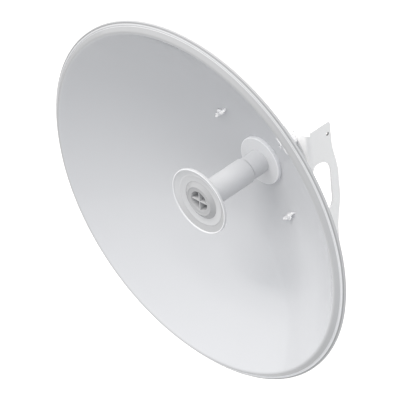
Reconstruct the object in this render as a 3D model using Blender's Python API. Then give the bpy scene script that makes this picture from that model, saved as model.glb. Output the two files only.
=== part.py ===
"""Parabolic dish antenna on its folded mounting bracket.

The dish looks along -Y and stands upright, +Z up. Every piece is drawn in the dish's
own frame, in millimetres: the dish axis is the Y axis, and y = 0 is the front ridge of
the rim. One empty then carries them all, so that the origin lies on the outer flat face
of the bracket wing at +X, where the antenna is fastened.
"""
import bpy
import bmesh
from math import cos, pi, radians, sin, sqrt, tan, tau
from mathutils import Vector

MM = 0.001
GAP = 0.3

# Reflector, one pressed bowl
RIM_RADIUS = 325.0
RIDGE_RADIUS = 309.5
RIDGE_ROUND = 5.0
BOWL_DEPTH = 158.5
SHEET = 2.5
STRIP = (319.9, 9.9, 2.5)
ROLLED_EDGE = (323.4, 11.6, 1.6)
RIM_REAR = 14.0
REAR_ROUND = 1.2
CENTRE_HOLE = 30.0
BOWL_DRILL = (120.0, 155.0)

# Feed, along the axis
FLANGE_RADIUS = 42.5
FLANGE_FRONT = 149.0
FLANGE_ROUND = 2.0
REAR_TUBE_RADIUS = 20.2
FRONT_TUBE_RADIUS = 22.2
TUBE_STEP = 117.5
STEP_ROUND = 4.0
TUBE_WALL = 3.2
TUBE_FRONT = 30.5
TUBE_BORE = 19.0
HEAD_RADIUS = 59.2
HEAD_FRONT = 8.2
HEAD_DEPTH = 5.0
RING_WALL = 2.8
WALL_FRONT = 10.0
FLOOR_OUTER = 46.0
FLOOR_FRONT = 14.0
FLOOR_RADIUS = 34.0
CONE_JOINT = 24.0
CONE_TAIL = 24.5
HUB_RADIUS = 27.0
HUB_FRONT = 9.8
MOUTH_RADIUS = 17.5
THROAT_RADIUS = 14.0
THROAT_LENGTH = 10.0
CORE_LENGTH = 12.0
VANE_THICKNESS = 1.2

# Bolts that join the bowl and the bracket
BOLT_OFFSET = 71.2
BOLT_HEAD_RADIUS = 6.0
BOLT_HEAD_HEIGHT = 4.5
STUD_RADIUS = 2.8
STUD_REACH = 11.0
BOLT_RADIUS = 3.9
BOLT_HOLE = 4.3
SLEEVE_RADIUS = 9.0
WASHER_RADIUS = 8.5
WASHER_THICKNESS = 1.5
NUT_RADIUS = 7.5
NUT_THICKNESS = 6.5
BOLT_TAIL = 5.0

# Bracket, folded from one sheet
BRACKET_HALF_WIDTH = 105.0
BRACKET_SHEET = 3.0
PLATE_FRONT = 162.0
FOLD_ROUND = 8.0
BRACKET_MIDDLE = -35.0
BRACKET_HALF_HEIGHT = 129.5
PLATE_STEP = 6.0
STEP_BEHIND_PLATE = 5.0
EAR_REACH = 212.7
EAR_ROUND = 8.0
WING_BULGE = 222.7
BULGE_FLAT = 18.0
BULGE_END = 92.0
WING_HOLE_RADIUS = 3.0
WING_HOLE_FROM_END = 23.0
WING_HOLE_REACH = 205.0
OPENING_FRONT = 168.0
OPENING_REAR = 206.0
OPENING_TOP = 25.5
OPENING_BOTTOM = -83.0
OPENING_FRONT_ROUND = 10.0
OPENING_REAR_ROUND = 27.0
EDGE_HOLE_RADIUS = 2.5
EDGE_HOLE_FROM_END = 4.5
CUT_INSIDE = 20.0
CUT_PAST = 10.0
DRILL_PAST = 5.0

# Rear housing of the feed
HOUSING_HALF_WIDTH = 45.0
HOUSING_TOP = 35.0
HOUSING_BOTTOM = -85.0
HOUSING_REAR = 211.0
HOUSING_ROUND = 8.0
LID_THICKNESS = 4.0
LID_INSET = 4.0
PORT_DOOR = (46.0, 26.0, 3.0)

# The point of the bracket wing that lies at the origin
MOUNT_POINT = Vector((BRACKET_HALF_WIDTH, 190.0, 55.0))

FOCAL = (RIDGE_RADIUS - RIDGE_ROUND / sqrt(2)) ** 2 / (
    4 * (BOWL_DEPTH - RIDGE_ROUND * (1 - 1 / sqrt(2))))


def clear_scene():
    for item in list(bpy.data.objects):
        bpy.data.objects.remove(item, do_unlink=True)


def material(name, colour, roughness, metallic=0.0, transmission=0.0):
    finish = bpy.data.materials.new(name)
    finish.use_nodes = True
    shader = finish.node_tree.nodes["Principled BSDF"]
    shader.inputs["Base Color"].default_value = (*colour, 1.0)
    shader.inputs["Roughness"].default_value = roughness
    shader.inputs["Metallic"].default_value = metallic
    shader.inputs["Transmission Weight"].default_value = transmission
    return finish


def add_piece(name, mesh_builder, finish):
    """Finish a bmesh given in millimetres as an object carried by the frame."""
    bmesh.ops.recalc_face_normals(mesh_builder, faces=mesh_builder.faces[:])
    bmesh.ops.scale(mesh_builder, vec=(MM, MM, MM), verts=mesh_builder.verts[:])
    mesh = bpy.data.meshes.new(name)
    mesh_builder.to_mesh(mesh)
    mesh_builder.free()
    mesh.shade_smooth()
    mesh.set_sharp_from_angle(angle=radians(35))
    mesh.materials.append(finish)
    piece = bpy.data.objects.new(name, mesh)
    bpy.context.collection.objects.link(piece)
    piece.parent = frame
    return piece


def turned(profile, sides):
    """Spin a closed profile of (radius, y) points about the dish axis."""
    builder = bmesh.new()
    ring = [builder.verts.new((radius, y, 0.0)) for radius, y in profile]
    edges = []
    for first, second in zip(ring, ring[1:] + ring[:1]):
        edges.append(builder.edges.new((first, second)))
    bmesh.ops.spin(builder, geom=ring + edges, cent=(0, 0, 0), axis=(0, 1, 0),
                   angle=tau, steps=sides, use_duplicate=False)
    bmesh.ops.remove_doubles(builder, verts=builder.verts[:], dist=0.001)
    loose = [edge for edge in builder.edges if not edge.link_faces]
    bmesh.ops.delete(builder, geom=loose, context='EDGES')
    return builder


def arc(centre_radius, centre_y, radius, start, end, steps):
    """Points on an arc; at angle 0 a point lies outward, at -90 it lies in front."""
    points = []
    for index in range(steps + 1):
        angle = radians(start + (end - start) * index / steps)
        points.append((centre_radius + radius * cos(angle), centre_y + radius * sin(angle)))
    return points


def bowl_front(radius):
    """The y of the bowl's front surface, a parabola."""
    return BOWL_DEPTH - radius ** 2 / (4 * FOCAL)


def bowl_back(radius):
    """The y of the bowl's back surface, one sheet thickness behind the front."""
    slope = radius / (2 * FOCAL)
    return bowl_front(radius) + SHEET * sqrt(1 + slope ** 2)


def bolt_places():
    for x_side, z_side, label in ((-1, 1, "top_left"), (1, 1, "top_right"),
                                  (-1, -1, "bottom_left"), (1, -1, "bottom_right")):
        yield x_side * BOLT_OFFSET, z_side * BOLT_OFFSET, label


def cut(piece, cutter):
    """Take the cutter out of the piece with a Boolean that stays on the piece."""
    cutter.hide_render = True
    cutter.display_type = 'WIRE'
    step = piece.modifiers.new("cut_" + cutter.name, 'BOOLEAN')
    step.operation = 'DIFFERENCE'
    step.solver = 'EXACT'
    step.object = cutter


def rod(builder, x, z, radius, y_start, y_end, sides):
    """Add a closed round bar along Y to the builder."""
    rings = []
    for y in (y_start, y_end):
        rings.append([builder.verts.new((x + radius * cos(tau * i / sides), y,
                                         z + radius * sin(tau * i / sides)))
                      for i in range(sides)])
    for i in range(sides):
        j = (i + 1) % sides
        builder.faces.new((rings[0][i], rings[0][j], rings[1][j], rings[1][i]))
    builder.faces.new(rings[0])
    builder.faces.new(rings[1])


def make_reflector(finish):
    inner_edge = RIDGE_RADIUS - RIDGE_ROUND / sqrt(2)
    steps = 13
    front = []
    for index in range(steps):
        radius = CENTRE_HOLE + (inner_edge - CENTRE_HOLE) * index / steps
        front.append((radius, bowl_front(radius)))
    ridge = arc(RIDGE_RADIUS, RIDGE_ROUND, RIDGE_ROUND, -135, -40, 5)
    strip = arc(*STRIP, -130, -50, 4)
    crease = (RIM_RADIUS - 2.6, STRIP[1] + 0.2)
    rolled = arc(*ROLLED_EDGE, -100, 0, 4)
    rear = arc(RIM_RADIUS - REAR_ROUND, RIM_REAR - REAR_ROUND, REAR_ROUND, 0, 180, 4)
    strip_back = (STRIP[0] - 1.3, STRIP[1] + 1.0)
    ridge_back = arc(RIDGE_RADIUS, RIDGE_ROUND, RIDGE_ROUND - SHEET, -40, -135, 3)
    back = []
    back_steps = 10
    for index in range(back_steps):
        radius = inner_edge - (inner_edge - CENTRE_HOLE) * (index + 1) / back_steps
        back.append((radius, bowl_back(radius)))
    profile = (front + ridge + strip + [crease] + rolled + rear + [strip_back]
               + ridge_back + back)
    reflector = add_piece("reflector", turned(profile, 80), finish)
    drill = bmesh.new()
    for x, z, _ in bolt_places():
        rod(drill, x, z, BOLT_HOLE, *BOWL_DRILL, 12)
    cut(reflector, add_piece("reflector_drill", drill, finish))


def make_feed(plastic, head_plastic, dark):
    neck_rear = PLATE_FRONT + BRACKET_SHEET
    flange_edge = bowl_front(FLANGE_RADIUS) - GAP
    neck = CENTRE_HOLE - GAP
    bore = REAR_TUBE_RADIUS - TUBE_WALL
    flange = [(bore, FLANGE_FRONT)]
    flange += arc(FLANGE_RADIUS - FLANGE_ROUND, FLANGE_FRONT + FLANGE_ROUND, FLANGE_ROUND,
                  -90, 0, 4)
    flange += [(FLANGE_RADIUS, flange_edge), (neck, bowl_front(neck) - GAP),
               (neck, neck_rear), (bore, neck_rear)]
    add_piece("feed_flange", turned(flange, 48), plastic)

    rear_tube = [(bore, TUBE_STEP + GAP), (REAR_TUBE_RADIUS, TUBE_STEP + GAP),
                 (REAR_TUBE_RADIUS, FLANGE_FRONT - GAP), (bore, FLANGE_FRONT - GAP)]
    add_piece("rear_tube", turned(rear_tube, 40), plastic)

    front_tube = [(TUBE_BORE, TUBE_FRONT), (FRONT_TUBE_RADIUS, TUBE_FRONT)]
    front_tube += arc(FRONT_TUBE_RADIUS - STEP_ROUND, TUBE_STEP - STEP_ROUND, STEP_ROUND,
                      0, 90, 5)
    front_tube += [(bore, TUBE_STEP), (bore, TUBE_STEP - STEP_ROUND),
                   (TUBE_BORE, TUBE_STEP - STEP_ROUND)]
    add_piece("front_tube", turned(front_tube, 40), plastic)

    ring_inner = HEAD_RADIUS - RING_WALL
    ring_rear = HEAD_FRONT + HEAD_DEPTH
    ring = arc(HEAD_RADIUS - RING_WALL / 2, HEAD_FRONT + RING_WALL / 2, RING_WALL / 2,
               -180, 0, 6)
    ring += [(HEAD_RADIUS, ring_rear), (ring_inner, ring_rear)]
    add_piece("head_ring", turned(ring, 56), head_plastic)

    wall = ring_inner - GAP
    floor = [(wall, WALL_FRONT), (wall, ring_rear), (FLOOR_RADIUS, CONE_JOINT),
             (FLOOR_RADIUS, FLOOR_FRONT), (FLOOR_OUTER, FLOOR_FRONT)]
    add_piece("head_floor", turned(floor, 56), head_plastic)

    throat_rear = TUBE_FRONT + THROAT_LENGTH
    throat_edge = FLOOR_RADIUS - GAP
    sleeve = TUBE_BORE - GAP
    throat = [(throat_edge, FLOOR_FRONT), (throat_edge, CONE_JOINT),
              (CONE_TAIL, TUBE_FRONT - GAP), (sleeve, TUBE_FRONT - GAP),
              (sleeve, throat_rear), (THROAT_RADIUS, throat_rear),
              (THROAT_RADIUS, CONE_JOINT), (MOUTH_RADIUS, HUB_FRONT),
              (HUB_RADIUS, HUB_FRONT)]
    add_piece("throat_cone", turned(throat, 40), head_plastic)

    core = bmesh.new()
    rod(core, 0.0, 0.0, sleeve, throat_rear + GAP, throat_rear + CORE_LENGTH, 24)
    add_piece("feed_core", core, dark)

    make_vanes(throat_rear, head_plastic)


def make_vanes(throat_rear, finish):
    """Two thin vanes that cross inside the throat."""
    vane_edge = THROAT_RADIUS - GAP
    right = [(vane_edge, throat_rear), (vane_edge, CONE_JOINT),
             (MOUTH_RADIUS - 1.0, HUB_FRONT + 0.8)]
    left = [(-radius, y) for radius, y in reversed(right)]
    half = VANE_THICKNESS / 2

    def level(radius, y, depth):
        return (radius, y, depth)

    def upright(radius, y, depth):
        return (depth, y, radius)

    vanes = add_piece("feed_vanes", slab(right + left, level, -half, half), finish)
    second = add_piece("vane_upright", slab(right + left, upright, -half, half), finish)
    second.hide_render = True
    second.display_type = 'WIRE'
    join = vanes.modifiers.new("join_upright", 'BOOLEAN')
    join.operation = 'UNION'
    join.solver = 'EXACT'
    join.object = second


def make_fasteners(steel):
    plate_rear = PLATE_FRONT + BRACKET_SHEET
    sides = 12
    for x, z, label in bolt_places():

        def around(radius):
            return [(x + radius * cos(tau * i / sides), z + radius * sin(tau * i / sides))
                    for i in range(sides)]

        def on_bowl(points, surface, offset):
            return [(px, surface(sqrt(px * px + pz * pz)) + offset, pz) for px, pz in points]

        nut_rear = plate_rear + WASHER_THICKNESS + NUT_THICKNESS + 2 * GAP
        rings = []
        for radius, reach in ((STUD_RADIUS - 0.6, STUD_REACH), (STUD_RADIUS, STUD_REACH - 0.6),
                              (STUD_RADIUS, BOLT_HEAD_HEIGHT),
                              (BOLT_HEAD_RADIUS - 0.8, BOLT_HEAD_HEIGHT),
                              (BOLT_HEAD_RADIUS, BOLT_HEAD_HEIGHT - 0.8)):
            rings.append(on_bowl(around(radius), bowl_front, -GAP - reach))
        rings.append(on_bowl(around(BOLT_HEAD_RADIUS), bowl_front, -GAP))
        rings.append(on_bowl(around(BOLT_RADIUS), bowl_front, -GAP))
        rings.append([(px, nut_rear + BOLT_TAIL, pz) for px, pz in around(BOLT_RADIUS)])
        add_piece("bolt_" + label, lofted(rings), steel)

        outer_front = on_bowl(around(SLEEVE_RADIUS), bowl_back, GAP)
        inner_front = on_bowl(around(BOLT_HOLE), bowl_back, GAP)
        sleeve_rear = PLATE_FRONT - GAP
        outer_rear = [(px, sleeve_rear, pz) for px, pz in around(SLEEVE_RADIUS)]
        inner_rear = [(px, sleeve_rear, pz) for px, pz in around(BOLT_HOLE)]
        add_piece("sleeve_" + label, lofted([outer_front, outer_rear, inner_rear, inner_front],
                                            closed=True), steel)

        washer = []
        front, rear = plate_rear + GAP, plate_rear + GAP + WASHER_THICKNESS
        for radius, y in ((WASHER_RADIUS, front), (WASHER_RADIUS, rear),
                          (BOLT_HOLE, rear), (BOLT_HOLE, front)):
            washer.append([(px, y, pz) for px, pz in around(radius)])
        add_piece("washer_" + label, lofted(washer, closed=True), steel)
        make_nut(x, z, label, rear + GAP, steel)


def make_nut(x, z, label, front, steel):
    """A hexagon nut; its bore has twelve sides, two to each flat."""
    rings = []
    rear = front + NUT_THICKNESS
    for radius, y in ((NUT_RADIUS, front), (NUT_RADIUS, rear), (BOLT_HOLE, rear),
                      (BOLT_HOLE, front)):
        ring = []
        for i in range(12):
            angle = tau * i / 12
            reach = radius
            if radius == NUT_RADIUS and i % 2:
                reach = radius * cos(pi / 6)
            ring.append((x + reach * cos(angle), y, z + reach * sin(angle)))
        rings.append(ring)
    add_piece("nut_" + label, lofted(rings, closed=True), steel)


def lofted(rings, closed=False):
    """Skin rings of equal count; a closed loft joins its last ring to its first."""
    builder = bmesh.new()
    rows = [[builder.verts.new(point) for point in ring] for ring in rings]
    pairs = list(zip(rows, rows[1:]))
    if closed:
        pairs.append((rows[-1], rows[0]))
    count = len(rows[0])
    for first, second in pairs:
        for i in range(count):
            j = (i + 1) % count
            builder.faces.new((first[i], first[j], second[j], second[i]))
    if not closed:
        builder.faces.new(rows[0])
        builder.faces.new(rows[-1])
    return builder


def slab(outline, place, low, high):
    """Close an outline between two depths; place turns (a, b, depth) into a point."""
    builder = bmesh.new()
    rows = [[builder.verts.new(place(a, b, depth)) for a, b in outline]
            for depth in (low, high)]
    count = len(outline)
    for i in range(count):
        j = (i + 1) % count
        builder.faces.new((rows[0][i], rows[0][j], rows[1][j], rows[1][i]))
    builder.faces.new(rows[0])
    builder.faces.new(rows[1])
    return builder


def rounded_outline(corners, steps=4):
    """Corners are (a, b, radius); each is replaced by an arc that meets its sides."""
    points = []
    count = len(corners)
    for i in range(count):
        a, b, radius = corners[i]
        here = Vector((a, b))
        before = (Vector(corners[i - 1][:2]) - here).normalized()
        after = (Vector(corners[(i + 1) % count][:2]) - here).normalized()
        if radius == 0:
            points.append((a, b))
            continue
        half = before.angle(after) / 2
        reach = radius / tan(half)
        centre = here + (before + after).normalized() * (radius / sin(half))
        start = here + before * reach - centre
        end = here + after * reach - centre
        sweep = start.angle_signed(end)
        for step in range(steps + 1):
            turn = -sweep * step / steps
            points.append((centre.x + start.x * cos(turn) - start.y * sin(turn),
                           centre.y + start.x * sin(turn) + start.y * cos(turn)))
    return points


def wing_edge():
    """The wing's rear edge: flat at both ears, with a smooth bulge between them."""
    points = []
    steps = 20
    for index in range(steps + 1):
        z = BULGE_END - 2 * BULGE_END * index / steps
        along = max(0.0, (abs(z) - BULGE_FLAT) / (BULGE_END - BULGE_FLAT))
        swell = (1 + cos(pi * along)) / 2
        points.append((EAR_REACH + (WING_BULGE - EAR_REACH) * swell, BRACKET_MIDDLE + z))
    return points


def channel():
    """The folded sheet seen from above: a plate with a wing at each end."""
    rear = WING_BULGE + CUT_PAST
    outer, inner = BRACKET_HALF_WIDTH, BRACKET_HALF_WIDTH - BRACKET_SHEET
    centre_x, centre_y = outer - FOLD_ROUND, PLATE_FRONT + FOLD_ROUND
    inner_round = FOLD_ROUND - BRACKET_SHEET
    right = [(outer, rear)]
    right += [(centre_x + x, centre_y + y) for x, y in arc(0, 0, FOLD_ROUND, 0, -90, 6)]
    left = [(-x, y) for x, y in reversed(right)]
    back_left = [(-inner, rear)]
    back_left += [(-centre_x - x, centre_y + y) for x, y in arc(0, 0, inner_round, 0, -90, 6)]
    back_right = [(-x, y) for x, y in reversed(back_left)]
    return right + left + back_left + back_right


def side_outline():
    """The bracket seen from the side; the plate's ends lie a step below the wings' ends."""
    top = BRACKET_MIDDLE + BRACKET_HALF_HEIGHT
    bottom = BRACKET_MIDDLE - BRACKET_HALF_HEIGHT
    front = PLATE_FRONT - DRILL_PAST
    step = PLATE_FRONT + STEP_BEHIND_PLATE
    ear = EAR_REACH - EAR_ROUND
    upper = [(front, top - PLATE_STEP), (step, top - PLATE_STEP), (step, top)]
    upper += [(ear + y, top - EAR_ROUND + z) for y, z in arc(0, 0, EAR_ROUND, 90, 0, 4)]
    lower = [(ear + y, bottom + EAR_ROUND + z) for y, z in arc(0, 0, EAR_ROUND, 0, -90, 4)]
    lower += [(step, bottom), (step, bottom + PLATE_STEP), (front, bottom + PLATE_STEP)]
    return upper + wing_edge() + lower


def make_bracket(finish):
    top = BRACKET_MIDDLE + BRACKET_HALF_HEIGHT
    bottom = BRACKET_MIDDLE - BRACKET_HALF_HEIGHT
    plate_rear = PLATE_FRONT + BRACKET_SHEET

    def flat(x, y, z):
        return (x, y, z)

    def in_wing(y, z, x):
        return (x, y, z)

    bracket = add_piece("bracket", slab(channel(), flat, bottom, top), finish)
    reach = BRACKET_HALF_WIDTH + CUT_PAST
    outline = add_piece("side_outline", slab(side_outline(), in_wing, -reach, reach), finish)
    outline.hide_render = True
    outline.display_type = 'WIRE'
    trim = bracket.modifiers.new("trim_to_outline", 'BOOLEAN')
    trim.operation = 'INTERSECT'
    trim.solver = 'EXACT'
    trim.object = outline

    front, rear = OPENING_FRONT_ROUND, OPENING_REAR_ROUND
    opening = rounded_outline([(OPENING_FRONT, OPENING_TOP, front), (OPENING_REAR, OPENING_TOP, rear),
                               (OPENING_REAR, OPENING_BOTTOM, rear),
                               (OPENING_FRONT, OPENING_BOTTOM, front)], steps=7)
    for side, label in ((-1, "left"), (1, "right")):
        low, high = sorted((side * (BRACKET_HALF_WIDTH - CUT_INSIDE),
                            side * (BRACKET_HALF_WIDTH + CUT_PAST)))
        cut(bracket, add_piece("window_" + label, slab(opening, in_wing, low, high), finish))
        for end, z in (("top", top - WING_HOLE_FROM_END), ("bottom", bottom + WING_HOLE_FROM_END)):
            ring = [(WING_HOLE_REACH + y, z + h)
                    for y, h in arc(0, 0, WING_HOLE_RADIUS, 0, 360, 16)[:-1]]
            cut(bracket, add_piece("ear_hole_" + end + "_" + label,
                                   slab(ring, in_wing, low, high), finish))

    drill = bmesh.new()
    near, far = PLATE_FRONT - DRILL_PAST, plate_rear + DRILL_PAST
    for x, z, _ in bolt_places():
        rod(drill, x, z, BOLT_HOLE, near, far, 12)
    for x in (-BOLT_OFFSET, BOLT_OFFSET):
        rod(drill, x, top - PLATE_STEP - EDGE_HOLE_FROM_END, EDGE_HOLE_RADIUS, near, far, 10)
    rod(drill, 0, 0, CENTRE_HOLE, near, far, 40)
    cut(bracket, add_piece("plate_drill", drill, finish))


def make_housing(plastic, dark):
    front = PLATE_FRONT + BRACKET_SHEET + GAP

    def upright(x, z, y):
        return (x, y, z)

    def box(name, half_width, top, bottom, y_front, y_rear, corner, finish):
        outline = rounded_outline([(-half_width, top, corner), (half_width, top, corner),
                                   (half_width, bottom, corner), (-half_width, bottom, corner)],
                                  steps=5)
        return add_piece(name, slab(outline, upright, y_front, y_rear), finish)

    box("rear_housing", HOUSING_HALF_WIDTH, HOUSING_TOP, HOUSING_BOTTOM, front,
        HOUSING_REAR, HOUSING_ROUND, plastic)
    box("housing_lid", HOUSING_HALF_WIDTH - LID_INSET, HOUSING_TOP - LID_INSET,
        HOUSING_BOTTOM + LID_INSET, HOUSING_REAR + GAP, HOUSING_REAR + GAP + LID_THICKNESS,
        HOUSING_ROUND - 2.0, plastic)
    width, depth, thickness = PORT_DOOR
    middle = (front + HOUSING_REAR) / 2
    outline = rounded_outline([(-width / 2, middle - depth / 2, 4.0),
                               (width / 2, middle - depth / 2, 4.0),
                               (width / 2, middle + depth / 2, 4.0),
                               (-width / 2, middle + depth / 2, 4.0)])

    def flat(x, y, z):
        return (x, y, z)

    bottom = HOUSING_BOTTOM - GAP
    add_piece("port_door", slab(outline, flat, bottom - thickness, bottom), dark)


clear_scene()
frame = bpy.data.objects.new("antenna_frame", None)
bpy.context.collection.objects.link(frame)
frame.location = -MOUNT_POINT * MM

bowl_paint = material("white_bowl_paint", (0.72, 0.73, 0.75), 0.3)
feed_plastic = material("white_feed_plastic", (0.80, 0.80, 0.80), 0.35)
clear_plastic = material("clear_head_plastic", (0.82, 0.83, 0.85), 0.2, transmission=0.2)
dark_plastic = material("dark_core_plastic", (0.25, 0.24, 0.25), 0.5)
bracket_paint = material("white_bracket_paint", (0.78, 0.78, 0.79), 0.4)
bolt_steel = material("bolt_steel", (0.75, 0.75, 0.76), 0.25, metallic=1.0)

make_reflector(bowl_paint)
make_feed(feed_plastic, clear_plastic, dark_plastic)
make_fasteners(bolt_steel)
make_bracket(bracket_paint)
make_housing(feed_plastic, dark_plastic)
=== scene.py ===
# %% [markdown]
# # A parabolic dish antenna, dressed over its engineering model
#
# The engineering model gives every piece its real size and place. This script loads it,
# keeps it where it is, and adds what a photograph shows: smooth pressed metal with a
# rolled rim, a milky plastic feed head, plated bolts and a painted bracket. Each step
# says what the real piece is, how it could be made, and why this way was taken.

# %% Load the frame
import bpy
import bmesh
from math import cos, radians, sin, sqrt, tau
from mathutils import Matrix, Vector


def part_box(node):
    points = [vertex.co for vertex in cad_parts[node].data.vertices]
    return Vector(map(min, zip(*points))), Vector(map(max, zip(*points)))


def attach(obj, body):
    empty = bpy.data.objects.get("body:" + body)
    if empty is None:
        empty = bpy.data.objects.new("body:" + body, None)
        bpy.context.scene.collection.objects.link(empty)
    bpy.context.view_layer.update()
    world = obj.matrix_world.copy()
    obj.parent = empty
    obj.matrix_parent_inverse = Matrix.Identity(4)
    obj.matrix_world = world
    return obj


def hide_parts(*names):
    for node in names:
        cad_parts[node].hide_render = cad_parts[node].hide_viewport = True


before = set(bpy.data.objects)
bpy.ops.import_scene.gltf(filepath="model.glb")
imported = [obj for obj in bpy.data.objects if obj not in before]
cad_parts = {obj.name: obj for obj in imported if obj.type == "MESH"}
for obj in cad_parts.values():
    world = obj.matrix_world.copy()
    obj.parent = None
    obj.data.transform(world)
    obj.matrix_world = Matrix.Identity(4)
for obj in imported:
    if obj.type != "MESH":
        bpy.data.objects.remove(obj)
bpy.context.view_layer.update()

# %% [markdown]
# ## The dish's own axis
#
# The origin of the part is on its bracket, but a dish is easiest to think about from
# its own axis. The reflector's box gives that axis: its middle in X and Z, and its
# front edge in Y. `at` turns a distance across, behind the front ridge and up into a
# point of the scene, so every later size can be written as a maker would write it.

# %% The axis and the millimetre
MM = 0.001
bowl_low, bowl_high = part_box("reflector")
AXIS = Vector(((bowl_low.x + bowl_high.x) / 2, bowl_low.y, (bowl_low.z + bowl_high.z) / 2))
RIM_RADIUS = (bowl_high.x - bowl_low.x) / 2 / MM


def at(across, behind, up):
    """A point in metres from millimetres across, behind the front ridge and up."""
    return AXIS + Vector((across, behind, up)) * MM


print("rim radius in mm:", round(RIM_RADIUS, 1))

# %% [markdown]
# ## Where the photographer stood
#
# A camera can be placed by turning it until it looks right, or by the angles that the
# rim's ellipse gives. The rim shows about twice as long as it is wide, which puts the
# line of sight 57 degrees off the dish axis, and its lean gives the height. The far
# camera with a long lens keeps the near and the far edge of the bowl alike in size.

# %% Camera
PICTURE_WIDTH = 400
CAMERA_AZIMUTH = radians(47.55)
CAMERA_ELEVATION = radians(36.6)
CAMERA_ROLL = radians(-5.05)
CAMERA_DISTANCE = 23.0
MM_PER_PIXEL = 1.605
RIM_PLANE = 7.5  # how far behind the front ridge the rim's outline lies, in mm
RIM_CENTRE_PIXEL = (198.0, 202.0)

to_camera = Vector((sin(CAMERA_AZIMUTH) * cos(CAMERA_ELEVATION),
                    -cos(CAMERA_AZIMUTH) * cos(CAMERA_ELEVATION), sin(CAMERA_ELEVATION)))
level_turn = to_camera.to_track_quat("Z", "Y").to_matrix()
camera_turn = level_turn @ Matrix.Rotation(CAMERA_ROLL, 3, "Z")
right, up = camera_turn.col[0], camera_turn.col[1]
pixels_right = RIM_CENTRE_PIXEL[0] - PICTURE_WIDTH / 2
pixels_down = RIM_CENTRE_PIXEL[1] - PICTURE_WIDTH / 2
aim = at(0, RIM_PLANE, 0) + (up * pixels_down - right * pixels_right) * MM_PER_PIXEL * MM

camera_data = bpy.data.cameras.new("camera")
picture_in_metres = PICTURE_WIDTH * MM_PER_PIXEL * MM
camera_data.lens = camera_data.sensor_width * CAMERA_DISTANCE / picture_in_metres
camera_data.clip_end = 200.0
camera = bpy.data.objects.new("camera", camera_data)
bpy.context.collection.objects.link(camera)
camera_place = aim + to_camera * CAMERA_DISTANCE
camera.matrix_world = Matrix.Translation(camera_place) @ camera_turn.to_4x4()
bpy.context.scene.camera = camera
print("lens in mm:", round(camera_data.lens))

# %% [markdown]
# ## A plain studio
#
# The antenna hangs over a pale floor, far enough above it that no shadow shows. A picture
# of a real studio could light it, but an even pale world and a few soft lamps are easier
# to steer: the world fills everything, and the lamps only add what the photograph has
# brighter. The "Standard" view keeps the pale tones as they are set.

# %% Floor and world
FLOOR_DROP = 1.1
FLOOR_SIZE = 60.0
FLOOR_TONE = 0.45
WORLD_COLOUR = (0.98, 0.99, 1.0, 1.0)
WORLD_STRENGTH = 1.15

bpy.ops.mesh.primitive_plane_add(size=FLOOR_SIZE,
                                 location=at(0, 0, 0) - Vector((0, 0, FLOOR_DROP)))
floor = bpy.context.object
floor.name = "studio_floor"
floor_paper = bpy.data.materials.new("floor_paper")
floor_paper.use_nodes = True
paper_shader = floor_paper.node_tree.nodes["Principled BSDF"]
paper_shader.inputs["Base Color"].default_value = (FLOOR_TONE, FLOOR_TONE, FLOOR_TONE, 1.0)
paper_shader.inputs["Roughness"].default_value = 0.9
floor.data.materials.append(floor_paper)

world = bpy.data.worlds.new("studio")
bpy.context.scene.world = world
world.use_nodes = True
backdrop = world.node_tree.nodes["Background"]
backdrop.inputs["Color"].default_value = WORLD_COLOUR
backdrop.inputs["Strength"].default_value = WORLD_STRENGTH
bpy.context.scene.view_settings.view_transform = "Standard"
print("floor lies at height in m:", round(floor.location.z, 3))

# %% [markdown]
# ## Lamps
#
# Two long strips overhead brighten what faces up, so the bowl runs from a flat grey at the
# top to near white at the bottom, and a lamp far behind whitens the floor. Two very small
# ones behind the bowl fill the shade on the bracket's plate, and one in front picks out
# the short bars under the bolts. These three would also mark the bowl, so each of them is
# told which pieces it lights. Reflections leave all lamps out, because they would draw
# hard bars in the paint.

# %% Lamps
LAMP_COLOUR = (1.0, 0.97, 0.93)
PLATE_SPOT = at(90, 166, 40)
PLATE_LAMPS = (("plate_lamp_above", at(-20, 90, 250), 0.5),
               ("plate_lamp_below", at(60, 95, -260), 3.0))


def panel(name, place, width, depth, power, target=None):
    """A soft lamp, wide along X and deep along Y in metres; it faces down or a target."""
    lamp_data = bpy.data.lights.new(name, "AREA")
    lamp_data.shape = "RECTANGLE"
    lamp_data.size = width
    lamp_data.size_y = depth
    lamp_data.energy = power
    lamp_data.color = LAMP_COLOUR
    lamp = bpy.data.objects.new(name, lamp_data)
    lamp.location = place
    if target is not None:
        lamp.rotation_euler = (place - target).to_track_quat("Z", "Y").to_euler()
    lamp.visible_glossy = False
    lamp.visible_camera = False
    bpy.context.collection.objects.link(lamp)
    return lamp


def light_only(lamp, *pieces):
    """Let a lamp light these pieces and nothing else."""
    receivers = bpy.data.collections.new("lit_by_" + lamp.name)
    for piece in pieces:
        receivers.objects.link(piece)
    lamp.light_linking.receiver_collection = receivers


panel("overhead_strip", at(-250, -850, 2600), 4.2, 0.5, 22.0)
panel("forward_strip", at(-1200, -1450, 2600), 2.4, 0.5, 38.0)
panel("floor_lamp", at(-1100, 1050, -500), 1.6, 1.6, 22.0)
for lamp_name, place, power in PLATE_LAMPS:
    plate_lamp = panel(lamp_name, place, 0.02, 0.04, power, PLATE_SPOT)
    light_only(plate_lamp, bpy.data.objects["bracket"])
bar_lamp = panel("bar_lamp", at(900, -2400, 1800), 0.8, 0.8, 36.0, at(0, 150, 0))
print("lamps:", len(bpy.data.lights))

# %% [markdown]
# ## Shader sums in plain Python
#
# A material is a web of nodes. Drawing it by hand hides what it works out, so one small
# class wraps a socket, and writing `1 - topside` then adds the Math node. Any other node
# comes from `node`, which sets its options first and then fills or joins its sockets.

# %% The socket wrapper


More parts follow.
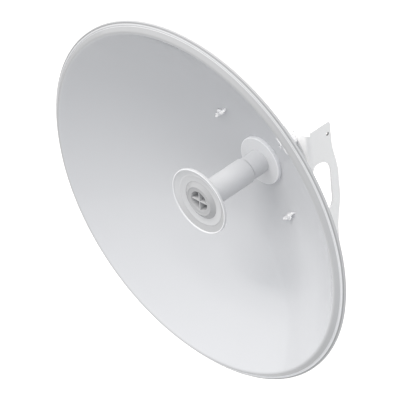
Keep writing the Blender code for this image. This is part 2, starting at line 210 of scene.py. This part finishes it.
class Signal:
    """A value that changes over a surface, carried by one socket."""

    def __init__(self, look, socket):
        self.look = look
        self.socket = socket

    def combined(self, operation, first, second):
        """One Math node; each side may be a signal or a plain number."""
        return self.look.node("ShaderNodeMath", {"operation": operation},
                              {0: first, 1: second})

    def __add__(self, other):
        return self.combined("ADD", self, other)

    __radd__ = __add__

    def __mul__(self, other):
        return self.combined("MULTIPLY", self, other)

    __rmul__ = __mul__

    def __sub__(self, other):
        return self.combined("SUBTRACT", self, other)

    def __rsub__(self, other):
        return self.combined("SUBTRACT", other, self)

    def __truediv__(self, other):
        return self.combined("DIVIDE", self, other)


print("signals add, take away, multiply and divide")

# %% The material builder


class Look:
    """A material with a Principled shader, built from signals."""

    def __init__(self, name):
        self.material = bpy.data.materials.new(name)
        self.material.use_nodes = True
        self.tree = self.material.node_tree
        self.shader = self.tree.nodes["Principled BSDF"]

    def feed(self, socket, value):
        """Join a signal to a socket, or set a plain value on it."""
        if isinstance(value, Signal):
            self.tree.links.new(value.socket, socket)
        else:
            socket.default_value = value

    def node(self, kind, settings=None, sockets=None, output=0):
        """Add a node: its settings first, then the values or links of its sockets."""
        made = self.tree.nodes.new(kind)
        for name, value in (settings or {}).items():
            setattr(made, name, value)
        for name, value in (sockets or {}).items():
            self.feed(made.inputs[name], value)
        return Signal(self, made.outputs[output])

    def set(self, **values):
        """Feed the Principled shader; Base_Color stands for its socket Base Color."""
        for name, value in values.items():
            self.feed(self.shader.inputs[name.replace("_", " ")], value)
        return self

    def places(self):
        """Object coordinates: metres in the part's frame."""
        return self.node("ShaderNodeTexCoord", output="Object")

    def way_from(self, start):
        """The vector from a place to the shaded point, in metres."""
        return self.node("ShaderNodeVectorMath", {"operation": "SUBTRACT"},
                         {0: self.places(), 1: tuple(start)})

    def radius(self, start=AXIS, plane=(1.0, 0.0, 1.0)):
        """Distance from a line in millimetres: the dish axis, unless told otherwise."""
        flat = self.node("ShaderNodeVectorMath", {"operation": "MULTIPLY"},
                         {0: self.way_from(start), 1: plane})
        length = self.node("ShaderNodeVectorMath", {"operation": "LENGTH"}, {0: flat}, "Value")
        return length / MM

    def along(self, direction):
        """How far the point lies along a direction from the dish axis, in millimetres."""
        return self.node("ShaderNodeVectorMath", {"operation": "DOT_PRODUCT"},
                         {0: self.way_from(AXIS), 1: direction}, "Value") / MM

    def rise(self, signal, start, end):
        """Go smoothly from 0 to 1 while the signal goes from start to end."""
        return self.node("ShaderNodeMapRange", {"interpolation_type": "SMOOTHSTEP"},
                         {"Value": signal, "From Min": start, "From Max": end})

    def noise(self, scale, detail=2.0):
        """Clouds between 0 and 1; scale is in features per metre."""
        return self.node("ShaderNodeTexNoise", {},
                         {"Vector": self.places(), "Scale": scale, "Detail": detail})

    def tint(self, factor, low, high):
        """A colour between two, chosen by a signal; each may be a colour or a signal."""
        ends = [end if isinstance(end, Signal) else (*end, 1.0) for end in (low, high)]
        return self.node("ShaderNodeMix", {"data_type": "RGBA"},
                         {0: factor, 6: ends[0], 7: ends[1]}, output=2)

    def bump(self, height, depth):
        """Turn a height signal into a surface normal; depth is in metres."""
        return self.node("ShaderNodeBump", {}, {"Height": height, "Distance": depth})


print("material builder ready")

# %% [markdown]
# ## The two kinds of finish
#
# The bowl and the bracket are painted metal: smooth, with the faint unevenness of a
# sprayed coat. The feed is moulded plastic with a fine grain, and the cup at its head is
# a glossier, milky kind. One flat colour each would do from afar, but a perfectly even
# surface looks like a drawing, so both kinds get clouds of tone and a fine grain.

# %% Painted metal and moulded plastic
PAINT_CLOUDS = 6.0
PAINT_SHINE = 0.25
PLASTIC_CLOUDS = 20.0


def grey(tone, cool=1.0):
    """A grey that is a little cool, as the light paint and plastic here are."""
    return (tone * (1 - 0.007 * cool), tone, tone * (1 + 0.02 * cool))


def painted_metal(name, low, high, roughness, grain, depth, cool=1.0):
    """Sprayed paint between two tones, with its grain per metre and depth in metres."""
    look = Look(name)
    look.colour = look.tint(look.noise(PAINT_CLOUDS), grey(low, cool), grey(high, cool))
    spray = look.noise(grain, 3.0)
    return look.set(Base_Color=look.colour, Roughness=roughness + spray * 0.04,
                    Specular_IOR_Level=PAINT_SHINE, Normal=look.bump(spray, depth))


def moulded_plastic(name, low, high, roughness, grain, depth):
    """Moulded plastic between two tones, with its grain per metre and depth in metres."""
    look = Look(name)
    look.colour = look.tint(look.noise(PLASTIC_CLOUDS), grey(low), grey(high))
    skin = look.noise(grain, 4.0)
    return look.set(Base_Color=look.colour, Roughness=roughness + skin * 0.1,
                    Normal=look.bump(skin, depth))


print("a mid grey:", [round(part, 3) for part in grey(0.5)])

# %% [markdown]
# ## The bowl's coat
#
# The rings of tone at the rim are painted light and shade. The bowl's coat is painted
# darker on the drop outside the ridge as shade, lighter on the flat band as a painted
# highlight, and dark again in the crease beside the bead as painted shade. The drop is
# painted darkest along the top, where it faces the sky and the overhead lamps would light
# it too brightly. A painted picture could hold these rings, but rings of tone by distance
# from the axis need none. The same two measures, `radius` and `along`, later tone the
# feed, its head and the ear holes of the bracket.

# %% Bowl coat
# Each row: the radius where a painted shade or highlight starts, its soft edge, and its tone
# low and high on the rim.
RIM_PAINTED_LIGHT = ((306.0, 5.0, 0.57, 0.40), (317.0, 0.8, 0.84, 0.62),
             (321.3, 0.6, 0.46, 0.36), (323.1, 0.6, 0.58, 0.47))
FACES_THE_SKY = (-0.5, 0.0, 1.0)

bowl_coat = painted_metal("bowl_coat", 0.604, 0.614, 0.08, 700.0, 0.000004, cool=1.6)
rim_radius = bowl_coat.radius()
# Painted shade: the rim's rings are coloured darker towards the top, where the lamps overhead
# are strongest.
painted_top_shade = bowl_coat.rise(bowl_coat.along(FACES_THE_SKY), -240.0, 150.0)
rim_colour = bowl_coat.colour
# Painted highlight and shade: the rim takes each ring's tone by its radius.
for start, softness, low_tone, high_tone in RIM_PAINTED_LIGHT:
    ring_tone = bowl_coat.tint(painted_top_shade, grey(low_tone), grey(high_tone))
    past_start = bowl_coat.rise(rim_radius, start, start + softness)
    rim_colour = bowl_coat.tint(past_start, rim_colour, ring_tone)
bowl_coat.set(Base_Color=rim_colour)
print("rings of tone:", len(RIM_PAINTED_LIGHT))

# %% [markdown]
# ## Turned pieces
#
# The bowl, the tubes and the head are round about one axis. A Screw modifier could turn
# them, but a small lathe of our own keeps every outline in the dish's millimetres: it
# walks an outline of radius and depth once round the axis. An arc helper keeps the
# outlines to the few points that a maker would write. Each new piece then rides on the
# one body of the part and stands in for the modelled node that it is smoother than.

# %% Placing a piece


def add_piece(name, mesh, look, slot, *stands_for):
    """Put a mesh in the scene, give it its finish and let it ride on the one body."""
    mesh.shade_smooth()
    mesh.set_sharp_from_angle(angle=radians(40))
    mesh.materials.append(look.material)
    piece = bpy.data.objects.new(name, mesh)
    bpy.context.collection.objects.link(piece)
    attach(piece, "root")
    if stands_for:
        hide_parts(*stands_for)
    print(name, "faces:", len(mesh.polygons))
    return piece


def keep_shape(look, *nodes):
    """Give a finish to pieces that keep their modelled shape."""
    for node in nodes:
        bpy.data.objects[node].material_slots[0].material = look.material
    print(look.material.name, "on:", ", ".join(nodes))


print("modelled nodes to dress:", len(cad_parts))

# %% The lathe


def arc(radius, behind, size, start, end, steps=6):
    """Outline points on an arc: 0 degrees points outward and -90 to the front."""
    points = []
    for index in range(steps + 1):
        angle = radians(start + (end - start) * index / steps)
        points.append((radius + size * cos(angle), behind + size * sin(angle)))
    return points


def join_rings(shape, here, there):
    """Faces between two closed rings with as many points each."""
    count = len(here)
    for index in range(count):
        after = (index + 1) % count
        shape.faces.new((here[index], here[after], there[after], there[index]))


def finished_mesh(name, shape):
    """Turn a bmesh into a mesh whose faces all look outward."""
    bmesh.ops.recalc_face_normals(shape, faces=shape.faces[:])
    mesh = bpy.data.meshes.new(name)
    shape.to_mesh(mesh)
    shape.free()
    return mesh


def turned_mesh(name, outline, steps):
    """Spin a closed outline of (radius, behind) points in mm about the dish axis."""
    shape = bmesh.new()
    rows = []
    for step in range(steps):
        turn = tau * step / steps
        rows.append([shape.verts.new(at(radius * cos(turn), behind, radius * sin(turn)))
                     for radius, behind in outline])
    for step in range(steps):
        join_rings(shape, rows[step], rows[(step + 1) % steps])
    return finished_mesh(name, shape)


def add_turned(name, outline, steps, look, slot, node):
    """Turn an outline and put it in the scene in place of a modelled node."""
    return add_piece(name, turned_mesh(name, outline, steps), look, slot, node)


print("lathe ready; a plain arc has", len(arc(10, 0, 2, -90, 0)), "points")

# %% [markdown]
# ## The bowl
#
# The bowl is one pressed sheet. Its front is a parabola, which sends every ray along the
# axis to the feed. Near the edge the sheet turns over a round ridge, drops outward to a
# narrow flat band, and ends in a small folded bead with a dark crease beside it. Those
# few millimetres catch most of the light at the rim, so they are drawn in full.

# %% Bowl sizes
RIDGE_RADIUS = 309.5
RIDGE_ROUND = 5.0
BOWL_DEPTH = 158.5
SHEET = 2.5
BAND_RADIUS = 319.9
BAND_BEHIND = 9.9
BAND_ROUND = 2.5
BEAD_RADIUS = 323.4
BEAD_BEHIND = 11.6
BEAD_ROUND = 1.6
RIM_REAR = 14.0
REAR_ROUND = 1.2
CENTRE_HOLE = 30.0
BOWL_EDGE = RIDGE_RADIUS - RIDGE_ROUND / sqrt(2)
REAR_EDGE = BOWL_EDGE - 0.4
FOCAL = BOWL_EDGE ** 2 / (4 * (BOWL_DEPTH - RIDGE_ROUND * (1 - 1 / sqrt(2))))
print("focal length in mm:", round(FOCAL, 1))

# %% Bowl curves and outline


def bowl_front(radius):
    """How far the bowl's front lies behind the ridge at a radius, in mm."""
    return BOWL_DEPTH - radius ** 2 / (4 * FOCAL)


def bowl_back(radius):
    """The same for its back, so that the sheet keeps its thickness square to itself."""
    return bowl_front(radius) + SHEET * sqrt(1 + (radius / (2 * FOCAL)) ** 2)


def bowl_outline(steps=64):
    """Out along the front, over the ridge, band and bead, and back along the rear."""
    reach = BOWL_EDGE - CENTRE_HOLE
    front = [CENTRE_HOLE + reach * step / steps for step in range(steps)]
    outline = [(radius, bowl_front(radius)) for radius in front]
    outline += arc(RIDGE_RADIUS, RIDGE_ROUND, RIDGE_ROUND, -135, -40, 12)
    outline += arc(BAND_RADIUS, BAND_BEHIND, BAND_ROUND, -130, -50, 8)
    crease = [(RIM_RADIUS - 2.9, BAND_BEHIND - 0.7), (RIM_RADIUS - 2.6, BAND_BEHIND + 0.2)]
    outline += crease
    outline += arc(BEAD_RADIUS, BEAD_BEHIND, BEAD_ROUND, -105, 0, 8)
    outline += arc(RIM_RADIUS - REAR_ROUND, RIM_REAR - REAR_ROUND, REAR_ROUND, 0, 180, 6)
    band_rear = (BAND_RADIUS - 1.3, BAND_BEHIND + 1.0)
    outline.append(band_rear)
    outline += arc(RIDGE_RADIUS, RIDGE_ROUND, RIDGE_ROUND - SHEET, -40, -135, 8)
    rear = reversed(front[1:] + [REAR_EDGE])
    outline += [(radius, bowl_back(radius)) for radius in rear]
    outline.append((CENTRE_HOLE, bowl_back(CENTRE_HOLE)))
    return outline


print("points in the bowl's outline:", len(bowl_outline()))

# %% The bowl itself
add_turned("bowl_skin", bowl_outline(), 256, bowl_coat, "bowl_paint", "reflector")

# %% [markdown]
# ## Feed: flange, tubes and shoulder
#
# The feed plugs into the bowl from behind. Its flange sits on the bowl like a washer, a
# slim tube comes out of it, and a wider tube slips over that with a rounded shoulder.
# All three are turned. The flange's rounded edge catches more light than its face, so a
# painted highlight lightens its colour there, and the tubes' colour is painted darker
# towards the underside as shade.

# %% Sizes of the flange and tubes
FLANGE_RADIUS = 42.5
FLANGE_FRONT = 149.0
FLANGE_ROUND = 1.6
TUBE_FOOT = 4.0
REAR_TUBE = 20.2
FRONT_TUBE = 22.2
TUBE_WALL = 3.2
TUBE_BORE = 19.0
TUBE_STEP = 117.5
TUBE_FRONT = 30.5
SHOULDER_ROUND = 4.0
SEAT = 0.05
NECK_REAR = 165.0
rear_bore = REAR_TUBE - TUBE_WALL
print("front tube length in mm:", TUBE_STEP - TUBE_FRONT)

# %% The feed's plastic
flange_look = moulded_plastic("flange_plastic", 0.76, 0.78, 0.34, 2200.0, 0.00002)
# Painted highlight: the flange's colour rises to near white on its rounded edge.
flange_painted_highlight = flange_look.rise(flange_look.radius(), FLANGE_RADIUS - 2.1, FLANGE_RADIUS - 0.9)
flange_look.set(Base_Color=flange_look.tint(flange_painted_highlight, flange_look.colour, grey(0.96)))

tube_look = moulded_plastic("tube_plastic", 0.74, 0.76, 0.34, 2200.0, 0.00002)
# Painted shade: the tubes' colour darkens towards the underside.
topside = tube_look.rise(tube_look.along((0.0, 0.0, 1.0)), -18.0, 20.0)
tube_look.set(Base_Color=tube_look.tint(1 - topside, tube_look.colour, grey(0.57)))
print("finishes so far:", len(bpy.data.materials))

# %% Flange and tubes
flange_back = bowl_front(FLANGE_RADIUS) - SEAT
neck_radius = CENTRE_HOLE - SEAT
flange = [(rear_bore, FLANGE_FRONT), (REAR_TUBE + TUBE_FOOT, FLANGE_FRONT)]
flange += arc(FLANGE_RADIUS - FLANGE_ROUND, FLANGE_FRONT + FLANGE_ROUND, FLANGE_ROUND,
              -90, 0, 8)
flange += [(FLANGE_RADIUS, flange_back), (neck_radius, bowl_front(CENTRE_HOLE) - SEAT),
           (neck_radius, NECK_REAR), (rear_bore, NECK_REAR)]
add_turned("flange_shell", flange, 128, flange_look, "feed_plastic", "feed_flange")

rear_tube = [(rear_bore, TUBE_STEP + SEAT), (REAR_TUBE, TUBE_STEP + SEAT),
             (REAR_TUBE, FLANGE_FRONT - SEAT), (rear_bore, FLANGE_FRONT - SEAT)]
add_turned("rear_tube_shell", rear_tube, 96, tube_look, "feed_plastic", "rear_tube")

shoulder = TUBE_STEP - SHOULDER_ROUND
front_tube = [(TUBE_BORE, TUBE_FRONT), (FRONT_TUBE, TUBE_FRONT)]
front_tube += arc(FRONT_TUBE - SHOULDER_ROUND, shoulder, SHOULDER_ROUND, 0, 90, 10)
front_tube += [(rear_bore, TUBE_STEP), (rear_bore, shoulder), (TUBE_BORE, shoulder)]
add_turned("front_tube_shell", front_tube, 96, tube_look, "feed_plastic", "front_tube")

# %% [markdown]
# ## Feed head
#
# The round head throws the signal back into the bowl. It is a shallow cup of milky
# plastic: a bright thin lip, a sloped wall, a flat floor, and a low hub whose mouth
# narrows to a dark throat with two thin vanes crossing in it. The light that such
# plastic lets through could be traced, but opaque rings of tone by distance from the
# axis are quicker and look the same from here, so that light is painted into the colour.
# The cup's wall is also painted lighter on its upper side and darker on its lower side,
# and the throat is partly painted dark as shade.

# %% Sizes of the head
HEAD_RADIUS = 59.2
HEAD_FRONT = 8.2
HEAD_REAR = 13.2
RING_WALL = 2.8
RING_BREAK = 0.6
WALL_FRONT = 10.0
FLOOR_OUTER = 46.0
FLOOR_FRONT = 14.0
FLOOR_RADIUS = 34.0
CONE_JOINT = 24.0
CONE_REAR = 24.5
HUB_RADIUS = 27.0
HUB_FRONT = 9.8
HUB_ROUND = 1.2
MOUTH = 17.5
MOUTH_ROUND = 1.0
THROAT = 14.0
THROAT_DEPTH = 10.0
ring_inner = HEAD_RADIUS - RING_WALL
print("head width in mm:", 2 * HEAD_RADIUS)

# %% Milky plastic
lip_look = moulded_plastic("lip_plastic", 0.78, 0.81, 0.2, 900.0, 0.00001)
lip_side = lip_look.rise(lip_look.radius(), HEAD_RADIUS - 0.8, HEAD_RADIUS - 0.1)
lip_look.set(Base_Color=lip_look.tint(lip_side, lip_look.colour, grey(0.68)))

milky = moulded_plastic("milky_plastic", 0.57, 0.61, 0.14, 900.0, 0.00001)
cup_wall = milky.rise(milky.radius(), FLOOR_OUTER - 0.5, FLOOR_OUTER + 1.5)
# Painted light and shade: the cup's wall is coloured lighter on its upper side, darker on its
# lower.
wall_painted_light = milky.rise(milky.along(FACES_THE_SKY), -45.0, 45.0)
wall_tone = milky.tint(wall_painted_light, grey(0.45), grey(0.66))
milky.set(Base_Color=milky.tint(cup_wall, milky.colour, wall_tone))

throat_look = moulded_plastic("throat_plastic", 0.41, 0.45, 0.14, 900.0, 0.00001)
# The hub and throat are coloured darker than the cup: partly the plastic's own tone, partly
# painted shade in the throat.
past_mouth = throat_look.rise(throat_look.radius(), MOUTH - 1.5, MOUTH + 1.0)
hub_edge = throat_look.rise(throat_look.radius(), HUB_RADIUS - 0.5, HUB_RADIUS + 1.5)
hub_colour = throat_look.tint(past_mouth, grey(0.42), throat_look.colour)
throat_look.set(Base_Color=throat_look.tint(hub_edge, hub_colour, grey(0.43)))
print("finishes so far:", len(bpy.data.materials))

# %% Ring, floor and throat
half_wall = RING_WALL / 2
ring = arc(HEAD_RADIUS - half_wall, HEAD_FRONT + half_wall, half_wall, -180, 0, 12)
ring += [(HEAD_RADIUS, HEAD_REAR - RING_BREAK), (HEAD_RADIUS - RING_BREAK, HEAD_REAR),
         (ring_inner, HEAD_REAR)]
add_turned("head_rim", ring, 160, lip_look, "head_plastic", "head_ring")

# The floor ends in a low step, and the sloped wall starts behind it.
step_front = FLOOR_FRONT - 0.8
floor_ring = [(ring_inner - SEAT, WALL_FRONT), (ring_inner - SEAT, HEAD_REAR),
              (FLOOR_RADIUS, CONE_JOINT), (FLOOR_RADIUS, FLOOR_FRONT + 0.5),
              (FLOOR_RADIUS + 0.5, FLOOR_FRONT), (FLOOR_OUTER - 3.0, FLOOR_FRONT - 0.2),
              (FLOOR_OUTER - 1.5, step_front), (FLOOR_OUTER, step_front),
              (FLOOR_OUTER + 1.2, FLOOR_FRONT - 0.4), (FLOOR_OUTER + 2.2, step_front)]
add_turned("head_floor_shell", floor_ring, 128, milky, "head_plastic", "head_floor")

throat_rear = TUBE_FRONT + THROAT_DEPTH
throat_edge = FLOOR_RADIUS - SEAT
cone = [(throat_edge, FLOOR_FRONT + 0.3), (throat_edge, CONE_JOINT),
        (CONE_REAR, TUBE_FRONT - SEAT), (TUBE_BORE - SEAT, TUBE_FRONT - SEAT),
        (TUBE_BORE - SEAT, throat_rear), (THROAT, throat_rear), (THROAT, CONE_JOINT)]
cone += arc(MOUTH + MOUTH_ROUND, HUB_FRONT + MOUTH_ROUND, MOUTH_ROUND, -160, -90, 4)
cone += [(HUB_RADIUS - 3.2, HUB_FRONT + 0.1)]
cone += arc(HUB_RADIUS - 1.5, HUB_FRONT + 0.6, HUB_ROUND, -150, -30, 6)
add_turned("throat_shell", cone, 128, throat_look, "head_plastic", "throat_cone")

# %% Core and vanes keep their modelled shape
core_grey = moulded_plastic("core_grey", 0.44, 0.48, 0.4, 1500.0, 0.00002)
keep_shape(core_grey, "feed_core")
keep_shape(milky, "feed_vanes")

# %% [markdown]
# ## Bolts, sleeves and nuts
#
# Four plated bolts hold the bowl to its bracket. Their shapes are right as modelled, so
# they only take the plated finish. The photograph shows a long bright mark at each, which
# lies across the radius and stands a little proud of the bowl, so a short bar with round
# ends spreads each bolt's load there. The bar leans with the bowl, because it rests on it.

# %% Plated steel
plated = Look("plated_steel")
brushing = plated.noise(1400.0, 3.0)
plated.set(Base_Color=plated.tint(brushing, (0.95, 0.95, 0.96), (0.98, 0.98, 0.99)),
           Roughness=0.16 + brushing * 0.12, Metallic=0.5)
CORNERS = ("top_left", "top_right", "bottom_left", "bottom_right")
for kind in ("bolt", "sleeve", "washer", "nut"):
    keep_shape(plated, *[f"{kind}_{corner}" for corner in CORNERS])

# %% The shape of a load bar
BAR_LENGTH = 32.0
BAR_WIDTH = 4.4
BAR_HEIGHT = 6.0
BAR_LIFT = 0.45
EDGE_BREAK = 0.8


def round_ended_ring(length, width, steps=8):
    """Points along and across a strip with round ends, in mm."""
    reach = (length - width) / 2
    points = []
    for side, start in ((1, -90), (-1, 90)):
        for step in range(steps + 1):
            angle = radians(start + 180 * step / steps)
            points.append((side * reach + width / 2 * cos(angle), width / 2 * sin(angle)))
    return points


def load_bar(name, across, up):
    """A short bar on the bowl at a place given in mm across and up from the axis."""
    radius = sqrt(across ** 2 + up ** 2)
    lean = radius / (2 * FOCAL)
    outward = Vector((across, 0, up)) / radius
    normal = (Vector((0, -1, 0)) - outward * lean).normalized()
    lengthways = outward.cross(Vector((0, 1, 0)))
    sideways = normal.cross(lengthways)
    middle = at(across, bowl_front(radius), up)
    shape = bmesh.new()
    rings = []
    for inset, height in ((0, 0), (0, BAR_HEIGHT - EDGE_BREAK), (EDGE_BREAK, BAR_HEIGHT)):
        ring = round_ended_ring(BAR_LENGTH - 2 * inset, BAR_WIDTH - 2 * inset)
        lift = normal * (height + BAR_LIFT)
        rings.append([shape.verts.new(middle + (lengthways * a + sideways * b + lift) * MM)
                      for a, b in ring])
    for lower, upper in zip(rings, rings[1:]):
        join_rings(shape, lower, upper)
    shape.faces.new(list(reversed(rings[0])))
    shape.faces.new(rings[-1])
    return finished_mesh(name, shape)


print("points round a bar:", len(round_ended_ring(BAR_LENGTH, BAR_WIDTH)))

# %% Load bars
load_bars = []
for corner in CORNERS:
    bolt_low, bolt_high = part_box("bolt_" + corner)
    bolt_place = ((bolt_low + bolt_high) / 2 - AXIS) / MM
    bar_name = "load_bar_" + corner
    bar_mesh = load_bar(bar_name, bolt_place.x, bolt_place.z)
    load_bars.append(add_piece(bar_name, bar_mesh, plated, "bolt_steel"))
light_only(bar_lamp, *load_bars)

# %% [markdown]
# ## Bracket and housing
#
# The bracket is bent sheet with two wings, and its bends and openings are in the
# engineering model. So is the housing behind it, which the photograph hides. Both keep
# their modelled shape, and take powder coat and grey moulded plastic. The wall of each
# ear hole is darkened by its distance from the hole's middle, because so small a hole
# lets little light in.

# %% Bracket, housing, lid and port door
EAR_HOLES = (71.5, -141.5)
EAR_BEHIND = 205.0
HOLE_RADIUS = 3.0
ACROSS_THE_WING = (0.0, 1.0, 1.0)

bracket_coat = painted_metal("bracket_coat", 0.88, 0.90, 0.38, 1800.0, 0.00004, cool=0.0)
bracket_colour = bracket_coat.colour
for hole_height in EAR_HOLES:
    from_hole = bracket_coat.radius(at(0, EAR_BEHIND, hole_height), ACROSS_THE_WING)
    past_hole = bracket_coat.rise(from_hole, HOLE_RADIUS, HOLE_RADIUS + 0.5)
    bracket_colour = bracket_coat.tint(past_hole, grey(0.12), bracket_colour)
bracket_coat.set(Base_Color=bracket_colour)
housing_look = moulded_plastic("housing_plastic", 0.64, 0.67, 0.34, 2200.0, 0.00002)

keep_shape(bracket_coat, "bracket")
keep_shape(housing_look, "rear_housing", "housing_lid")
keep_shape(core_grey, "port_door")
